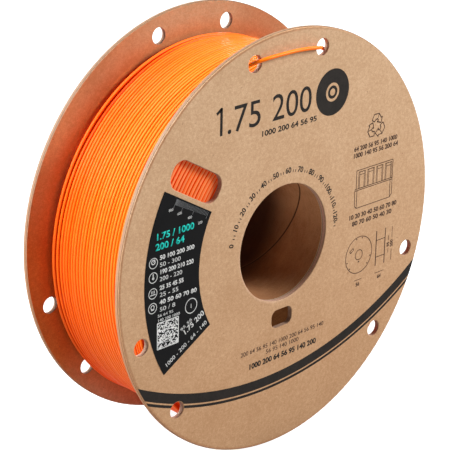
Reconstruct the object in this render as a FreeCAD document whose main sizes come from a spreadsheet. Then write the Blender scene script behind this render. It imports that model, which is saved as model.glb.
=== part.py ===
import FreeCAD, Part
import math
import os
import Sketcher

# Cardboard filament spool, wound with 1.75 mm filament. Millimetres, +Z up.
# The origin is on the bore's axis, halfway between the flanges. The printed front
# flange faces -Y and stands upright, so its drive slot is at six o'clock.

doc = FreeCAD.newDocument("FilamentSpool")
sheet = doc.addObject("Spreadsheet::Sheet", "Sizes")

# The driving dimensions: lengths in millimetres, the names with angle or spread in degrees
DRIVING_SIZES = {
    # Both flanges: greyboard between two kraft liners
    "flange_radius": 100.0,
    "spool_width": 64.0,
    "board_thickness": 1.4,
    "liner_thickness": 0.5,
    "liner_setback": 0.25,
    "pressed_edge": 0.35,
    # The bore and the hub, two spiral-wound paper tubes with a thin ply each
    "bore_radius": 28.0,
    "bore_lining": 0.5,
    "bore_tube_wall": 1.5,
    "hub_radius": 47.5,
    "hub_cover": 0.5,
    "hub_tube_wall": 1.5,
    "glue_film": 0.2,
    # The level window in each flange, a rounded slot
    "window_angle": 150.0,
    "window_length": 31.7,
    "window_width": 13.5,
    "window_corner": 5.8,
    "window_margin": 15.0,
    "window_offset": 9.0,
    # The drive slot under the bore
    "slot_width": 13.2,
    "slot_height": 8.9,
    "slot_corner": 3.3,
    "slot_gap": 4.6,
    # The pairs of round holes near the rim, for tucking in the filament's end
    "tuck_radius": 4.0,
    "tuck_margin": 9.3,
    "tuck_spread": 13.6,
    "tuck_pairs": 3,
    # The filament and its winding
    "wire_diameter": 1.75,
    "rim_clearance": 11.4,
    "winding_drop": 3.6,
    "winding_shift": 1.5,
    "turn_gap": 0.6,
    "side_clearance": 0.3,
    "layer_clearance": 0.1,
    "leave_angle": 158.0,
    # The sticker on the front flange, a sector of a ring
    "label_margin": 14.7,
    "label_width": 31.9,
    "label_film": 0.15,
    "label_half_angle": 30.0,
}
for row, (alias, value) in enumerate(DRIVING_SIZES.items(), start=1):
    sheet.set(f"A{row}", alias)
    sheet.set(f"B{row}", str(value))
    sheet.setAlias(f"B{row}", alias)
doc.recompute()

# Lengths that several pieces share, as expressions on the sheet
FLANGE_THICKNESS = "(Sizes.board_thickness + 2 * Sizes.liner_thickness)"
INNER_WIDTH = f"(Sizes.spool_width - 2 * {FLANGE_THICKNESS})"
TUBE_LENGTH = f"({INNER_WIDTH} - 2 * Sizes.glue_film)"
BORE_TUBE_INNER = "(Sizes.bore_radius + Sizes.bore_lining)"
BORE_TUBE_OUTER = f"({BORE_TUBE_INNER} + Sizes.bore_tube_wall)"
HUB_TUBE_OUTER = "(Sizes.hub_radius - Sizes.hub_cover)"
HUB_TUBE_INNER = f"({HUB_TUBE_OUTER} - Sizes.hub_tube_wall)"
WINDING_CREST = "(Sizes.flange_radius - Sizes.rim_clearance)"
PACK_RADIUS = f"({WINDING_CREST} - Sizes.wire_diameter - Sizes.layer_clearance)"
PACK_LENGTH = f"({INNER_WIDTH} - 2 * Sizes.side_clearance)"
TUCK_CIRCLE = "(Sizes.flange_radius - Sizes.tuck_margin)"

# A rear piece is the front piece turned half a turn about the upright axis
FRONT = FreeCAD.Placement()
REAR = FreeCAD.Placement(FreeCAD.Vector(), FreeCAD.Rotation(FreeCAD.Vector(0, 0, 1), 180))

# How a sketch's constraints name the points of its lines and arcs, and its own origin
START, END, CENTRE = range(1, 4)
ORIGIN_POINT = (-1, START)
subparts = []


def value_of(expression):
    """The number that an expression on the sheet gives."""
    return float(sheet.evalExpression(expression))


def new_body(name, placement=FRONT):
    """An empty body, listed as a sub-part and set down at its placement."""
    body = doc.addObject("PartDesign::Body", name)
    body.Label = name
    body.Placement = placement
    subparts.append(body)
    return body


def origin_feature(body, role):
    """The body's own origin plane or axis of that role."""
    return next(item for item in body.Origin.OriginFeatures if item.Role == role)


def upright_sketch(body, name, distance, turn=None):
    """A sketch square to the bore, at a distance towards -Y from the middle of the spool."""
    sketch = body.newObject("Sketcher::SketchObject", name)
    sketch.AttachmentSupport = (origin_feature(body, "XZ_Plane"), [""])
    sketch.MapMode = "FlatFace"
    about_normal = FreeCAD.Rotation(FreeCAD.Vector(0, 0, 1), 1 if turn else 0)
    sketch.AttachmentOffset = FreeCAD.Placement(FreeCAD.Vector(), about_normal)
    sketch.setExpression("AttachmentOffset.Base.z", distance)
    if turn:
        sketch.setExpression("AttachmentOffset.Rotation.Angle", turn)
    return sketch


def bind(sketch, name, expression, *constraint):
    """Add a constraint with a size, name it, and tie it to the sheet."""
    size = value_of(expression)
    index = sketch.addConstraint(Sketcher.Constraint(*constraint, size))
    sketch.renameConstraint(index, name)
    sketch.setExpression(f"Constraints.{name}", expression)


def draw_circle(sketch, name, radius):
    """A circle centred on the bore's axis."""
    circle = Part.Circle(FreeCAD.Vector(), FreeCAD.Vector(0, 0, 1), value_of(radius))
    index = sketch.addGeometry(circle)
    sketch.addConstraint(Sketcher.Constraint("Coincident", index, CENTRE, *ORIGIN_POINT))
    bind(sketch, name, radius, "Radius", index)
    return index


def draw_winding_circle(sketch, name, radius):
    """A circle of the winding, which is wound unevenly: its centre lies low and to the right."""
    shift = value_of("Sizes.winding_shift")
    drop = value_of("Sizes.winding_drop")
    up = FreeCAD.Vector(0, 0, 1)
    circle = Part.Circle(FreeCAD.Vector(shift, -drop, 0), up, value_of(radius))
    index = sketch.addGeometry(circle)
    place = (index, CENTRE)
    bind(sketch, f"{name}_shift", "Sizes.winding_shift", "DistanceX", *ORIGIN_POINT, *place)
    bind(sketch, f"{name}_drop", "Sizes.winding_drop", "DistanceY", *place, *ORIGIN_POINT)
    bind(sketch, name, radius, "Radius", index)


def draw_rounded_slot(sketch, left, bottom, length, height, corner):
    """A rectangle with four equal round corners, from its lower left corner."""
    x0 = value_of(left)
    y0 = value_of(bottom)
    x1 = x0 + value_of(length)
    y1 = y0 + value_of(height)
    r = value_of(corner)
    up = FreeCAD.Vector(0, 0, 1)
    sides = [
        ((x0 + r, y0), (x1 - r, y0)),
        ((x1, y0 + r), (x1, y1 - r)),
        ((x1 - r, y1), (x0 + r, y1)),
        ((x0, y1 - r), (x0, y0 + r)),
    ]
    centres = [(x1 - r, y0 + r), (x1 - r, y1 - r), (x0 + r, y1 - r), (x0 + r, y0 + r)]
    lines = []
    for start, end in sides:
        segment = Part.LineSegment(FreeCAD.Vector(*start, 0), FreeCAD.Vector(*end, 0))
        lines.append(sketch.addGeometry(segment))
    arcs = []
    for number, centre in enumerate(centres):
        circle = Part.Circle(FreeCAD.Vector(*centre, 0), up, r)
        first = (number - 1) * math.pi / 2
        arcs.append(sketch.addGeometry(Part.ArcOfCircle(circle, first, first + math.pi / 2)))
    for number in range(4):
        following = lines[(number + 1) % 4]
        tangent_in = ("Tangent", lines[number], END, arcs[number], START)
        tangent_out = ("Tangent", arcs[number], END, following, START)
        sketch.addConstraint(Sketcher.Constraint(*tangent_in))
        sketch.addConstraint(Sketcher.Constraint(*tangent_out))
    for number in range(1, 4):
        sketch.addConstraint(Sketcher.Constraint("Equal", arcs[0], arcs[number]))
    sketch.addConstraint(Sketcher.Constraint("Horizontal", lines[0]))
    sketch.addConstraint(Sketcher.Constraint("Vertical", lines[1]))
    bind(sketch, "corner", corner, "Radius", arcs[0])
    bind(sketch, "length", length, "DistanceX", lines[3], START, lines[1], START)
    bind(sketch, "height", height, "DistanceY", lines[0], START, lines[2], START)
    bind(sketch, "left", left, "DistanceX", *ORIGIN_POINT, lines[3], START)
    bind(sketch, "bottom", bottom, "DistanceY", *ORIGIN_POINT, lines[0], START)


def inward_pad(body, sketch, name, length):
    """Pad from the sketch towards the middle of the spool."""
    pad = body.newObject("PartDesign::Pad", name)
    pad.Profile = sketch
    pad.Reversed = True
    pad.setExpression("Length", length)
    return pad


def inward_pocket(body, sketch, name, depth):
    """Pocket from the sketch's plane towards the middle of the spool, and check that it cuts."""
    doc.recompute()
    before = body.Shape.Volume
    pocket = body.newObject("PartDesign::Pocket", name)
    pocket.Profile = sketch
    pocket.Reversed = False
    pocket.setExpression("Length", depth)
    doc.recompute()
    if body.Shape.Volume > before - 0.1:
        raise RuntimeError(f"{body.Label}: {name} cuts nothing")
    return pocket


def round_face_edges(body, name, radius, distance):
    """Round every edge of the face that lies at a distance towards -Y."""
    doc.recompute()
    base = body.Tip
    level = -value_of(distance)
    flat = 1e-6
    edges = []
    for number, edge in enumerate(base.Shape.Edges, start=1):
        box = edge.BoundBox
        if abs(box.YMin - level) < flat and abs(box.YMax - level) < flat:
            edges.append(f"Edge{number}")
    fillet = body.newObject("PartDesign::Fillet", name)
    fillet.Base = (base, edges)
    fillet.setExpression("Radius", radius)


def ring_body(name, distance, length, inner, outer, placement=FRONT):
    """A tube on the bore's axis, from a distance towards -Y inwards."""
    body = new_body(name, placement)
    sketch = upright_sketch(body, f"{name}_ring", distance)
    draw_circle(sketch, "outer", outer)
    draw_circle(sketch, "inner", inner)
    inward_pad(body, sketch, f"{name}_pad", length)
    return body


def cut_flange_openings(body, distance, depth):
    """The level window, the drive slot and the paired tuck holes of one layer of a flange."""
    name = body.Label
    window = upright_sketch(body, f"{name}_window", distance, "Sizes.window_angle * 1 deg")
    window_start = "(Sizes.flange_radius - Sizes.window_margin - Sizes.window_length)"
    window_base = "(0 - Sizes.window_offset - Sizes.window_width / 2)"
    window_size = ("Sizes.window_length", "Sizes.window_width", "Sizes.window_corner")
    draw_rounded_slot(window, window_start, window_base, *window_size)
    inward_pocket(body, window, f"{name}_window_cut", depth)

    slot = upright_sketch(body, f"{name}_slot", distance)
    slot_left = "(0 - Sizes.slot_width / 2)"
    slot_base = "(0 - Sizes.bore_radius - Sizes.slot_gap - Sizes.slot_height)"
    slot_size = ("Sizes.slot_width", "Sizes.slot_height", "Sizes.slot_corner")
    draw_rounded_slot(slot, slot_left, slot_base, *slot_size)
    inward_pocket(body, slot, f"{name}_slot_cut", depth)

    holes = upright_sketch(body, f"{name}_tuck_holes", distance)
    across = f"({TUCK_CIRCLE} * sin(Sizes.tuck_spread * 1 deg))"
    up = f"({TUCK_CIRCLE} * cos(Sizes.tuck_spread * 1 deg))"
    normal = FreeCAD.Vector(0, 0, 1)
    for side, sign in (("left", -1), ("right", 1)):
        place = FreeCAD.Vector(sign * value_of(across), value_of(up), 0)
        circle = Part.Circle(place, normal, value_of("Sizes.tuck_radius"))
        index = holes.addGeometry(circle)
        bind(holes, f"{side}_radius", "Sizes.tuck_radius", "Radius", index)
        bind(holes, f"{side}_up", up, "DistanceY", *ORIGIN_POINT, index, CENTRE)
        if sign > 0:
            bind(holes, f"{side}_across", across, "DistanceX", *ORIGIN_POINT, index, CENTRE)
        else:
            bind(holes, f"{side}_across", across, "DistanceX", index, CENTRE, *ORIGIN_POINT)
    pair = inward_pocket(body, holes, f"{name}_tuck_cut", depth)

    pattern = body.newObject("PartDesign::PolarPattern", f"{name}_tuck_pattern")
    pattern.Originals = [pair]
    pattern.Axis = (origin_feature(body, "Y_Axis"), [""])
    pattern.Angle = 360
    pattern.setExpression("Occurrences", "Sizes.tuck_pairs")
    body.Tip = pattern


def flange_layer(name, placement, depth, thickness, radius, pressed=False):
    """One sheet of a flange: a holed disc, a depth inside the flange's outer face."""
    distance = f"(Sizes.spool_width / 2 - {depth})"
    body = ring_body(name, distance, thickness, "Sizes.bore_radius", radius, placement)
    cut_flange_openings(body, distance, thickness)
    if pressed:
        round_face_edges(body, f"{name}_pressed_edges", "Sizes.pressed_edge", distance)
    return body


def build_flange(side, placement):
    """A laminated flange, from its outer face inwards."""
    liner_radius = "(Sizes.flange_radius - Sizes.liner_setback)"
    board_depth = "Sizes.liner_thickness"
    inner_depth = "(Sizes.liner_thickness + Sizes.board_thickness)"
    liner = "Sizes.liner_thickness"
    board = "Sizes.board_thickness"
    flange_layer(f"{side}_outer_liner", placement, "0", liner, liner_radius, pressed=True)
    flange_layer(f"{side}_core_board", placement, board_depth, board, "Sizes.flange_radius")
    flange_layer(f"{side}_inner_liner", placement, inner_depth, liner, liner_radius)


def build_tubes():
    """The bore tube and the hub tube, each with its thin visible ply, standing on glue."""
    start = f"({TUBE_LENGTH} / 2)"
    ring_body("bore_lining_ply", start, TUBE_LENGTH, "Sizes.bore_radius", BORE_TUBE_INNER)
    ring_body("bore_tube", start, TUBE_LENGTH, BORE_TUBE_INNER, BORE_TUBE_OUTER)
    ring_body("hub_tube", start, TUBE_LENGTH, HUB_TUBE_INNER, HUB_TUBE_OUTER)
    ring_body("hub_cover_ply", start, TUBE_LENGTH, HUB_TUBE_OUTER, "Sizes.hub_radius")


def build_glue(side, placement):
    """The glue films between a flange and the ends of the two tubes."""
    start = f"({INNER_WIDTH} / 2)"
    film = "Sizes.glue_film"
    ring_body(f"{side}_bore_glue", start, film, "Sizes.bore_radius", BORE_TUBE_OUTER, placement)
    ring_body(f"{side}_hub_glue", start, film, HUB_TUBE_INNER, "Sizes.hub_radius", placement)


def build_label():
    """The sticker on the front flange: a sector of a ring, centred on nine o'clock."""
    body = new_body("info_label")
    sketch = upright_sketch(body, "info_label_outline", "Sizes.spool_width / 2")
    outer = "(Sizes.flange_radius - Sizes.label_margin)"
    inner = f"({outer} - Sizes.label_width)"
    half = math.radians(value_of("Sizes.label_half_angle"))
    up = FreeCAD.Vector(0, 0, 1)
    arcs = []
    for name, radius in (("outer", outer), ("inner", inner)):
        circle = Part.Circle(FreeCAD.Vector(), up, value_of(radius))
        arc = Part.ArcOfCircle(circle, math.pi - half, math.pi + half)
        index = sketch.addGeometry(arc)
        sketch.addConstraint(Sketcher.Constraint("Coincident", index, CENTRE, *ORIGIN_POINT))
        bind(sketch, name, radius, "Radius", index)
        arcs.append(index)
    for name, side, point in (("top", 1, START), ("bottom", -1, END)):
        ray = FreeCAD.Vector(-math.cos(half), side * math.sin(half), 0)
        inner_end = ray * value_of(inner)
        outer_end = ray * value_of(outer)
        line = sketch.addGeometry(Part.LineSegment(inner_end, outer_end))
        sketch.addConstraint(Sketcher.Constraint("Coincident", line, START, arcs[1], point))
        sketch.addConstraint(Sketcher.Constraint("Coincident", line, END, arcs[0], point))
        drop = f"({outer} * sin(Sizes.label_half_angle * 1 deg))"
        if side > 0:
            bind(sketch, f"{name}_height", drop, "DistanceY", *ORIGIN_POINT, line, END)
        else:
            bind(sketch, f"{name}_height", drop, "DistanceY", line, END, *ORIGIN_POINT)
        sketch.addConstraint(Sketcher.Constraint("PointOnObject", *ORIGIN_POINT, line))
    pad = body.newObject("PartDesign::Pad", "info_label_pad")
    pad.Profile = sketch
    pad.setExpression("Length", "Sizes.label_film")


# The many turns are swept with a section of this many flat sides, the loose end with a round one
WIRE_SIDES = 12


def shaped_feature(name, shape):
    """A sub-part whose shape is worked out here, set down where it was drawn."""
    feature = doc.addObject("Part::Feature", name)
    feature.Label = name
    feature.Shape = shape
    feature.Placement = FRONT
    subparts.append(feature)


def arc_from_tangent(start, tangent, end):
    """The arc that leaves a point along a tangent and ends at another point."""
    chord = end - start
    along = FreeCAD.Vector(chord)
    along.normalize()
    half_sweep = math.acos(max(-1.0, min(1.0, tangent.dot(along))))
    bulge = tangent - along * tangent.dot(along)
    bulge.normalize()
    height = chord.Length / 2 * math.tan(half_sweep / 2)
    middle = (start + end) * 0.5 + bulge * height
    return Part.Arc(start, middle, end)


def biarc(start, start_tangent, end, end_tangent):
    """Two arcs that leave and arrive along the given tangents and share one at their joint."""
    span = end - start
    both = start_tangent + end_tangent
    bend = 2 * (1 - start_tangent.dot(end_tangent))
    reach = span.dot(both)
    arm = (math.sqrt(reach * reach + bend * span.dot(span)) - reach) / bend
    joint = (start + start_tangent * arm + end - end_tangent * arm) * 0.5
    first = arc_from_tangent(start, start_tangent, joint)
    second = arc_from_tangent(end, end_tangent * -1, joint)
    return [first.toShape(), second.toShape()]


def round_section(start, tangent, diameter):
    """The wire's round section, square to its path."""
    return Part.Wire(Part.Circle(start, tangent, diameter / 2).toShape())


def faceted_section(start, tangent, diameter):
    """A section of as many sides as WIRE_SIDES with the round one's area, flat side outwards."""
    outwards = start - winding_centre()
    outwards.y = 0
    outwards.normalize()
    sideways = tangent.cross(outwards)
    step = 2 * math.pi / WIRE_SIDES
    corner_radius = diameter / 2 * math.sqrt(step / math.sin(step))
    corners = []
    for number in range(WIRE_SIDES):
        angle = (number + 0.5) * step
        along = outwards * math.cos(angle) + sideways * math.sin(angle)
        corners.append(start + along * corner_radius)
    return Part.makePolygon(corners + [corners[0]])


def tube_along(edges, section):
    """A closed solid tube, its section swept along a path of lines and arcs."""
    return Part.Wire(edges).makePipeShell([section], True, False)


def winding_centre():
    """Where the winding's own axis crosses the middle of the spool."""
    shift = value_of("Sizes.winding_shift")
    return FreeCAD.Vector(shift, 0, -value_of("Sizes.winding_drop"))


def turn_point(angle, radius, end_angle, end_y, pitch):
    """A point of the outer layer's helix, which runs towards -Y as its angle falls."""
    y = end_y + pitch * (angle - end_angle) / (2 * math.pi)
    return winding_centre() + FreeCAD.Vector(radius * math.cos(angle), y, radius * math.sin(angle))


def build_inner_layers():
    """The layers under the outermost one, a solid ring round the hub and thicker below it."""
    body = new_body("filament_inner_layers")
    outline = upright_sketch(body, "filament_inner_layers_outline", f"({PACK_LENGTH} / 2)")
    draw_circle(outline, "inner", "(Sizes.hub_radius + Sizes.layer_clearance)")
    draw_winding_circle(outline, "outer", PACK_RADIUS)
    inward_pad(body, outline, "filament_inner_layers_pad", PACK_LENGTH)


def turn_tangent(angle, radius, pitch):
    """The direction of the helix at an angle, towards the filament's free end."""
    direction = FreeCAD.Vector(math.sin(angle), -pitch / (2 * math.pi * radius), -math.cos(angle))
    direction.normalize()
    return direction


def least_gap(points, skip, diameter):
    """The least clear gap between a tube and itself, measured on points of its centre line."""
    nearest = min(
        (points[i] - points[j]).Length
        for i in range(0, len(points))
        for j in range(i + skip, min(i + 3 * skip, len(points)))
    )
    return nearest - diameter


def build_outer_turns():
    """The outer layer of the winding, one unbroken tube over the layers below it."""
    diameter = value_of("Sizes.wire_diameter")
    radius = value_of(WINDING_CREST) - diameter / 2
    travel = value_of(PACK_LENGTH) - diameter
    turns = math.floor(travel / (diameter + value_of("Sizes.turn_gap")))
    pitch = travel / turns
    end_y = -travel / 2
    end_angle = math.radians(value_of("Sizes.leave_angle"))
    spans_per_turn = 2
    edges = []
    for span in range(turns * spans_per_turn, 0, -1):
        near = end_angle + span * 2 * math.pi / spans_per_turn
        far = end_angle + (span - 1) * 2 * math.pi / spans_per_turn
        edges += biarc(
            turn_point(near, radius, end_angle, end_y, pitch),
            turn_tangent(near, radius, pitch),
            turn_point(far, radius, end_angle, end_y, pitch),
            turn_tangent(far, radius, pitch),
        )
    first_angle = end_angle + turns * 2 * math.pi
    first_point = turn_point(first_angle, radius, end_angle, end_y, pitch)
    first_tangent = turn_tangent(first_angle, radius, pitch)
    lead = first_point - first_tangent * diameter
    last_point = turn_point(end_angle, radius, end_angle, end_y, pitch)
    last_tangent = turn_tangent(end_angle, radius, pitch)
    tail = last_point + last_tangent * diameter
    edges = [Part.makeLine(lead, first_point)] + edges + [Part.makeLine(last_point, tail)]
    section = faceted_section(lead, first_tangent, diameter)
    shaped_feature("filament_outer_turns", tube_along(edges, section))
    samples_per_turn = 36
    samples = [
        turn_point(end_angle + k * 2 * math.pi / samples_per_turn, radius, end_angle, end_y, pitch)
        for k in range(turns * samples_per_turn + 1)
    ]
    gap = least_gap(samples, samples_per_turn // 2, diameter)
    tightest = min(edge.Curve.Radius for edge in edges if hasattr(edge.Curve, "Radius"))
    print(f"outer turns: {turns}, pitch {pitch:.3f}, least gap {gap:.3f}, tightest {tightest:.2f}")
    return tail, last_tangent


# The loose end's route, from the winding out through the left tuck hole, across the front
# face and back in through the right one. Its first two points come from the winding. Each
# point here is an angle in degrees, then how far it lies outside the circle of the tuck
# holes, then how far in front of the flange's outer face.
LOOSE_END_FIRST_RUN = 12.0
LOOSE_END_POINTS = [
    (136.6, -5.4, -3.6),
    (124.7, -3.9, -3.7),
    (115.8, -2.5, -3.9),
    (110.3, -1.5, -4.1),
    (105.5, -0.6, -3.9),
    (101.4, 1.2, 2.0),
    (95.6, 0.1, 2.1),
    (89.4, -0.2, 2.2),
    (83.8, -0.2, 2.0),
    (78.6, 0.0, 2.0),
    (74.5, -0.6, -4.1),
    (68.7, -1.9, -4.4),
    (63.6, -3.1, -4.4),
]


def loose_end_point(angle, outside, proud):
    """A point of the loose end's route, placed by the tuck holes and the front face."""
    radius = value_of(TUCK_CIRCLE) + outside
    y = -value_of("Sizes.spool_width / 2") - proud
    turned = math.radians(angle)
    return FreeCAD.Vector(radius * math.cos(turned), y, radius * math.sin(turned))


def rounded_path(points):
    """Straight runs joined by tangent arcs, each as large as its two runs allow."""
    share = 0.45
    edges = []
    radii = []
    reached = points[0]
    for before, corner, after in zip(points, points[1:], points[2:]):
        back = before - corner
        ahead = after - corner
        shorter = min(back.Length, ahead.Length)
        back.normalize()
        ahead.normalize()
        turn = math.pi - math.acos(max(-1.0, min(1.0, back.dot(ahead))))
        setback = share * shorter
        radii.append(setback / math.tan(turn / 2))
        arc_start = corner + back * setback
        arc_end = corner + ahead * setback
        edges.append(Part.makeLine(reached, arc_start))
        edges.append(arc_from_tangent(arc_start, back * -1, arc_end).toShape())
        reached = arc_end
    edges.append(Part.makeLine(reached, points[-1]))
    return edges, radii


def build_loose_end(start, tangent):
    """The filament's loose end, a continuation of the outer layer's last turn."""
    diameter = value_of("Sizes.wire_diameter")
    points = [start, start + tangent * LOOSE_END_FIRST_RUN]
    points += [loose_end_point(*place) for place in LOOSE_END_POINTS]
    edges, radii = rounded_path(points)
    tube = tube_along(edges, round_section(start, tangent, diameter))
    length = sum(edge.Length for edge in edges)
    expected = math.pi * diameter ** 2 / 4 * length
    if abs(tube.Volume - expected) > 0.01 * expected:
        raise RuntimeError("the loose end's volume is not its section times its length")
    shaped_feature("filament_loose_end", tube)
    print(f"loose end: length {length:.1f}, radii", " ".join(f"{radius:.1f}" for radius in radii))


def check_document():
    """Stop if any object failed, or any sub-part's shape is empty or not valid."""
    for item in doc.Objects:
        if "Invalid" in item.State or "Error" in item.State:
            raise RuntimeError(f"{item.Label} failed: {item.State}")
    for piece in subparts:
        shape = piece.Shape
        if shape.isNull() or not shape.isValid() or not shape.Solids:
            raise RuntimeError(f"{piece.Label} has no valid solid")


build_flange("front", FRONT)
build_flange("rear", REAR)
build_tubes()
build_glue("front", FRONT)
build_glue("rear", REAR)
build_inner_layers()
build_loose_end(*build_outer_turns())
build_label()

doc.recompute()
check_document()
os.makedirs("parts", exist_ok=True)
for piece in subparts:
    piece.Shape.exportStep(os.path.join("parts", f"{piece.Label}.step"))
print(f"{len(subparts)} sub-parts written")
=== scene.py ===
import math
import random

import bpy
from mathutils import Matrix, Vector


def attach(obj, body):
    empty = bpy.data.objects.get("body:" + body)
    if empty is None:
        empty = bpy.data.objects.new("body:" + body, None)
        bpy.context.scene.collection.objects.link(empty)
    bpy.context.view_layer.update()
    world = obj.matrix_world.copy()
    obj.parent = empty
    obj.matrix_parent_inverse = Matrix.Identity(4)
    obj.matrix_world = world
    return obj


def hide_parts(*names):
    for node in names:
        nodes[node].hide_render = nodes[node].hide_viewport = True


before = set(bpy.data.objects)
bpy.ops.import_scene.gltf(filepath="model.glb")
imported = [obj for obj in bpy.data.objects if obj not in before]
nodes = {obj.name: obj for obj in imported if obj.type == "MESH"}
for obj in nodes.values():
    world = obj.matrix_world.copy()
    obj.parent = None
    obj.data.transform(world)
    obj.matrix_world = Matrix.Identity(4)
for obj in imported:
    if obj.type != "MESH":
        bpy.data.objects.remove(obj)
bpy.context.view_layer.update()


# The cores of both flanges are greyboard, pressed from pulped paper and die cut. Only their
# cut edges show, at the rim and inside every opening, between the two kraft sheets.
def srgb(red, green, blue):
    """A colour written from 0 to 255 in sRGB, as the linear colour that a shader takes."""
    def linear(part):
        share = part / 255
        return share / 12.92 if share <= 0.04045 else ((share + 0.055) / 1.055) ** 2.4
    return (linear(red), linear(green), linear(blue), 1.0)


WHITE = (1.0, 1.0, 1.0, 1.0)
RIM_FROM = 0.0982
RIM_BLEND = 0.0004
# Painted light and shade on the rims: warmer and lighter below, darker along the top
RIM_LOW_PAINTED_LIGHT = (1.36, 1.1, 0.88, 1.0)
RIM_TOP_PAINTED_SHADE = (0.76, 0.7, 0.6, 1.0)


class Signal:
    """A value inside a material. Sums and products of it add Math nodes."""

    def __init__(self, finish, socket):
        self.finish = finish
        self.socket = socket

    def math(self, operation, *others):
        values = dict(enumerate((self, *others)))
        return self.finish.node("ShaderNodeMath", {"operation": operation}, values)

    def __add__(self, other):
        return self.math("ADD", other)

    def __sub__(self, other):
        return self.math("SUBTRACT", other)

    def __rsub__(self, other):
        return self.finish.node("ShaderNodeMath", {"operation": "SUBTRACT"}, {0: other, 1: self})

    def __mul__(self, other):
        return self.math("MULTIPLY", other)

    def __truediv__(self, other):
        return self.math("DIVIDE", other)

    __radd__ = __add__
    __rmul__ = __mul__


class Finish:
    """A material made of nodes around one Principled shader."""

    def __init__(self, name):
        self.material = bpy.data.materials.new(name)
        self.material.use_nodes = True
        self.tree = self.material.node_tree
        self.shader = self.tree.nodes["Principled BSDF"]
        self.place = self.node("ShaderNodeTexCoord", output="Object")

    def feed(self, socket, value):
        """Link a signal to a socket, or set a plain value on it."""
        if isinstance(value, Signal):
            self.tree.links.new(value.socket, socket)
        else:
            socket.default_value = value

    def node(self, kind, settings=None, values=None, output=0):
        """Add a node: its settings first, then the values or links of its sockets."""
        made = self.tree.nodes.new(kind)
        for name, setting in (settings or {}).items():
            setattr(made, name, setting)
        for socket, value in (values or {}).items():
            self.feed(made.inputs[socket], value)
        return Signal(self, made.outputs[output])

    def axes(self, vector):
        """The three parts of a vector."""
        split = self.node("ShaderNodeSeparateXYZ", values={0: vector})
        return [Signal(self, socket) for socket in split.socket.node.outputs]

    def noise(self, size, detail=2.0, stretch=(1, 1, 1), turn=(0, 0, 0)):
        """Cloudy noise from 0 to 1 whose spots are about that many metres wide."""
        scale = tuple(1 / size / part for part in stretch)
        mapping = {"Vector": self.place, "Rotation": turn, "Scale": scale}
        place = self.node("ShaderNodeMapping", {"vector_type": "POINT"}, mapping)
        values = {"Vector": place, "Scale": 1.0, "Detail": detail, "Roughness": 0.6}
        return self.node("ShaderNodeTexNoise", {"noise_dimensions": "3D"}, values)

    def step(self, value, low, high):
        """0 below low, 1 above high, smooth between them."""
        settings = {"interpolation_type": "SMOOTHSTEP"}
        values = {"Value": value, "From Min": low, "From Max": high}
        return self.node("ShaderNodeMapRange", settings, values)

    def mix(self, first, second, share, blend="MIX"):
        """From the first colour to the second as the share goes from 0 to 1."""
        settings = {"data_type": "RGBA", "clamp_factor": True, "blend_type": blend}
        return self.node("ShaderNodeMix", settings, {0: share, 6: first, 7: second}, 2)

    def bump(self, height, distance, strength=1.0):
        """A normal for a height from 0 to 1, which stands for that many metres."""
        values = {"Height": height, "Distance": distance, "Strength": strength}
        return self.node("ShaderNodeBump", {"invert": False}, values)

    def facing(self):
        """1 on faces square to the bore, 0 on cut edges."""
        normal = self.node("ShaderNodeNewGeometry", output="True Normal")
        return self.axes(normal)[1].math("ABSOLUTE")

    def reach(self, right=0.0, drop=0.0):
        """The distance from the bore's axis, or from a line to its right and below it."""
        x, _, z = self.axes(self.place)
        across = x - right
        up = z + drop
        return (across * across + up * up).math("SQRT")

    def upright(self):
        """From -1 straight below the bore, over 0 beside it, to 1 straight above it."""
        return self.axes(self.place)[2] / self.reach()

    def painted_rim_light_and_shade(self):
        """Painted light and shade on the outer rim: a warmer brown below, and darker along its top.
        """
        upright = self.upright()
        tint = self.mix(RIM_LOW_PAINTED_LIGHT, WHITE, self.step(upright, -0.2, 0.6))
        return self.mix(tint, RIM_TOP_PAINTED_SHADE, self.step(upright, 0.6, 1.0))

    def at_rim(self):
        """1 along the outer rim, 0 inside the openings."""
        return self.step(self.reach(), RIM_FROM - RIM_BLEND, RIM_FROM)

    def finish(self, **values):
        """Set the shader's sockets, and give the material back."""
        for name, value in values.items():
            self.feed(self.shader.inputs[name.replace("_", " ")], value)
        return self.material


def paint(material, *names):
    """Put a material on CAD nodes."""
    for name in names:
        for slot in nodes[name].material_slots:
            slot.material = material


GREYBOARD_DARK = srgb(146, 119, 99)
GREYBOARD_LIGHT = srgb(166, 138, 117)
# Inside the openings the cut edges take colours of their own, fitted to the light there: painted
# light and shade on the same board and liners as at the rim
HOLE_DARK = srgb(150, 120, 102)
HOLE_LIGHT = srgb(180, 150, 130)
BORE_FROM = 0.0292
BORE_BLEND = 0.0003
# The cut wall round the bore is lightened: painted light
BORE_EDGE_PAINTED_LIGHT = (1.6, 1.55, 1.6, 1.0)

board = Finish("greyboard")
plies = board.noise(0.012, 3.0, stretch=(1, 0.02, 1))
crumbs = board.noise(0.0007, 3.0)
board_tone = board.step(plies * 0.55 + crumbs * 0.45, 0.3, 0.7)
board_rim = board.mix(GREYBOARD_DARK, GREYBOARD_LIGHT, board_tone)
board_rim = board.mix(board_rim, board.painted_rim_light_and_shade(), 1.0, "MULTIPLY")
board_hole = board.mix(HOLE_DARK, HOLE_LIGHT, board_tone)
at_bore = 1 - board.step(board.reach(), BORE_FROM - BORE_BLEND, BORE_FROM)
board_hole = board.mix(board_hole, BORE_EDGE_PAINTED_LIGHT, at_bore, "MULTIPLY")
board_colour = board.mix(board_hole, board_rim, board.at_rim())
board_rough = board.bump(plies * 0.6 + crumbs * 0.4, 0.00006)
paint(
    board.finish(
        Base_Color=board_colour, Roughness=0.92, Specular_IOR_Level=0.1, Normal=board_rough,
    ),
    "front_core_board", "rear_core_board",
)


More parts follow.
